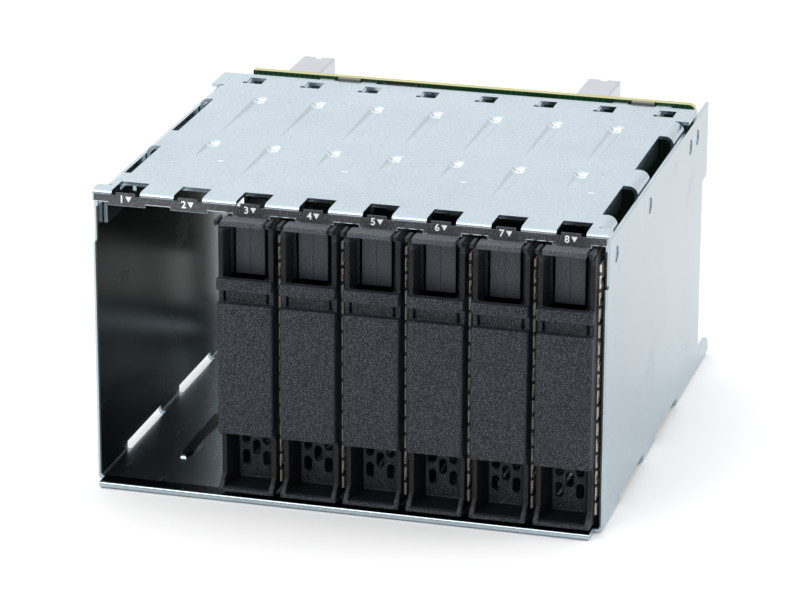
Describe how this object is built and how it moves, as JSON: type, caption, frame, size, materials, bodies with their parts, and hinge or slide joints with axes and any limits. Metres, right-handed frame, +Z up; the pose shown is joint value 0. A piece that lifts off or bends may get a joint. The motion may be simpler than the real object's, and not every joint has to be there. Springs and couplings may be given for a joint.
{
  "type": "hot swap drive cage",
  "caption": "Folded steel cage with upright small drive bays, numbered front strip, plastic bay blanks that pull out, and a connector board at the rear.",
  "frame": {"origin": "on the underside of the floor, at the middle of the row of bays, in the plane of the front flange", "axes": "+X along the row towards the highest bay number, +Y from the front to the back, +Z up"},
  "size_m": [0.1428, 0.1523, 0.0848],
  "materials": {
    "galvanised_steel": "galvanised, satin",
    "spring_steel": "bright",
    "bracket_steel": "pale zinc, satin",
    "fastener_steel": "zinc plated",
    "black_plastic": "fine spark-eroded texture",
    "label_film": "matt film",
    "circuit_board": "solder mask, yellow-green edge",
    "connector_black": "moulded",
    "clip_grey": "moulded"
  },
  "bodies": {
    "cage": {"cage_tray": "galvanised_steel", "top_cover": "galvanised_steel", "label_strip": "label_film", "backplane_board": "circuit_board", "drive_connector_1": "connector_black", "drive_connector_2": "connector_black", "drive_connector_3": "connector_black", "drive_connector_4": "connector_black", "drive_connector_5": "connector_black", "drive_connector_6": "connector_black", "drive_connector_7": "connector_black", "drive_connector_8": "connector_black", "signal_connector_left": "connector_black", "signal_connector_right": "connector_black", "power_connector": "connector_black", "sideband_header": "connector_black", "board_clip_left": "clip_grey", "board_clip_right": "clip_grey", "rear_bracket_left": "bracket_steel", "rear_bracket_right": "bracket_steel", "cover_rivets": "fastener_steel", "bracket_rivets": "fastener_steel", "board_screws": "fastener_steel"},
    "blank_3": {"blank_3_housing": "black_plastic", "blank_3_spring_strip": "spring_steel"},
    "latch_3": {"blank_3_latch": "black_plastic"},
    "blank_4": {"blank_4_housing": "black_plastic", "blank_4_spring_strip": "spring_steel"},
    "latch_4": {"blank_4_latch": "black_plastic"},
    "blank_5": {"blank_5_housing": "black_plastic", "blank_5_spring_strip": "spring_steel"},
    "latch_5": {"blank_5_latch": "black_plastic"},
    "blank_6": {"blank_6_housing": "black_plastic", "blank_6_spring_strip": "spring_steel"},
    "latch_6": {"blank_6_latch": "black_plastic"},
    "blank_7": {"blank_7_housing": "black_plastic", "blank_7_spring_strip": "spring_steel"},
    "latch_7": {"blank_7_latch": "black_plastic"},
    "blank_8": {"blank_8_housing": "black_plastic", "blank_8_spring_strip": "spring_steel"},
    "latch_8": {"blank_8_latch": "black_plastic"}
  },
  "joints": [
    {"name": "blank_3_slide", "type": "slide", "parent": "cage", "child": "blank_3", "axis": [0, -1, 0], "range_m": [0, 0.064]},
    {"name": "latch_3_press", "type": "hinge", "parent": "blank_3", "child": "latch_3", "pos_m": [-0.0267, 0.0004, 0.0595], "axis": [-1, 0, 0], "range_deg": [0, 5], "stiffness_Nm_per_rad": 0.02},
    {"name": "blank_4_slide", "type": "slide", "parent": "cage", "child": "blank_4", "axis": [0, -1, 0], "range_m": [0, 0.064]},
    {"name": "latch_4_press", "type": "hinge", "parent": "blank_4", "child": "latch_4", "pos_m": [-0.0091, 0.0004, 0.0595], "axis": [-1, 0, 0], "range_deg": [0, 5], "stiffness_Nm_per_rad": 0.02},
    {"name": "blank_5_slide", "type": "slide", "parent": "cage", "child": "blank_5", "axis": [0, -1, 0], "range_m": [0, 0.064]},
    {"name": "latch_5_press", "type": "hinge", "parent": "blank_5", "child": "latch_5", "pos_m": [0.0085, 0.0004, 0.0595], "axis": [-1, 0, 0], "range_deg": [0, 5], "stiffness_Nm_per_rad": 0.02},
    {"name": "blank_6_slide", "type": "slide", "parent": "cage", "child": "blank_6", "axis": [0, -1, 0], "range_m": [0, 0.064]},
    {"name": "latch_6_press", "type": "hinge", "parent": "blank_6", "child": "latch_6", "pos_m": [0.0261, 0.0004, 0.0595], "axis": [-1, 0, 0], "range_deg": [0, 5], "stiffness_Nm_per_rad": 0.02},
    {"name": "blank_7_slide", "type": "slide", "parent": "cage", "child": "blank_7", "axis": [0, -1, 0], "range_m": [0, 0.064]},
    {"name": "latch_7_press", "type": "hinge", "parent": "blank_7", "child": "latch_7", "pos_m": [0.0437, 0.0004, 0.0595], "axis": [-1, 0, 0], "range_deg": [0, 5], "stiffness_Nm_per_rad": 0.02},
    {"name": "blank_8_slide", "type": "slide", "parent": "cage", "child": "blank_8", "axis": [0, -1, 0], "range_m": [0, 0.064]},
    {"name": "latch_8_press", "type": "hinge", "parent": "blank_8", "child": "latch_8", "pos_m": [0.0613, 0.0004, 0.0595], "axis": [-1, 0, 0], "range_deg": [0, 5], "stiffness_Nm_per_rad": 0.02}
  ]
}
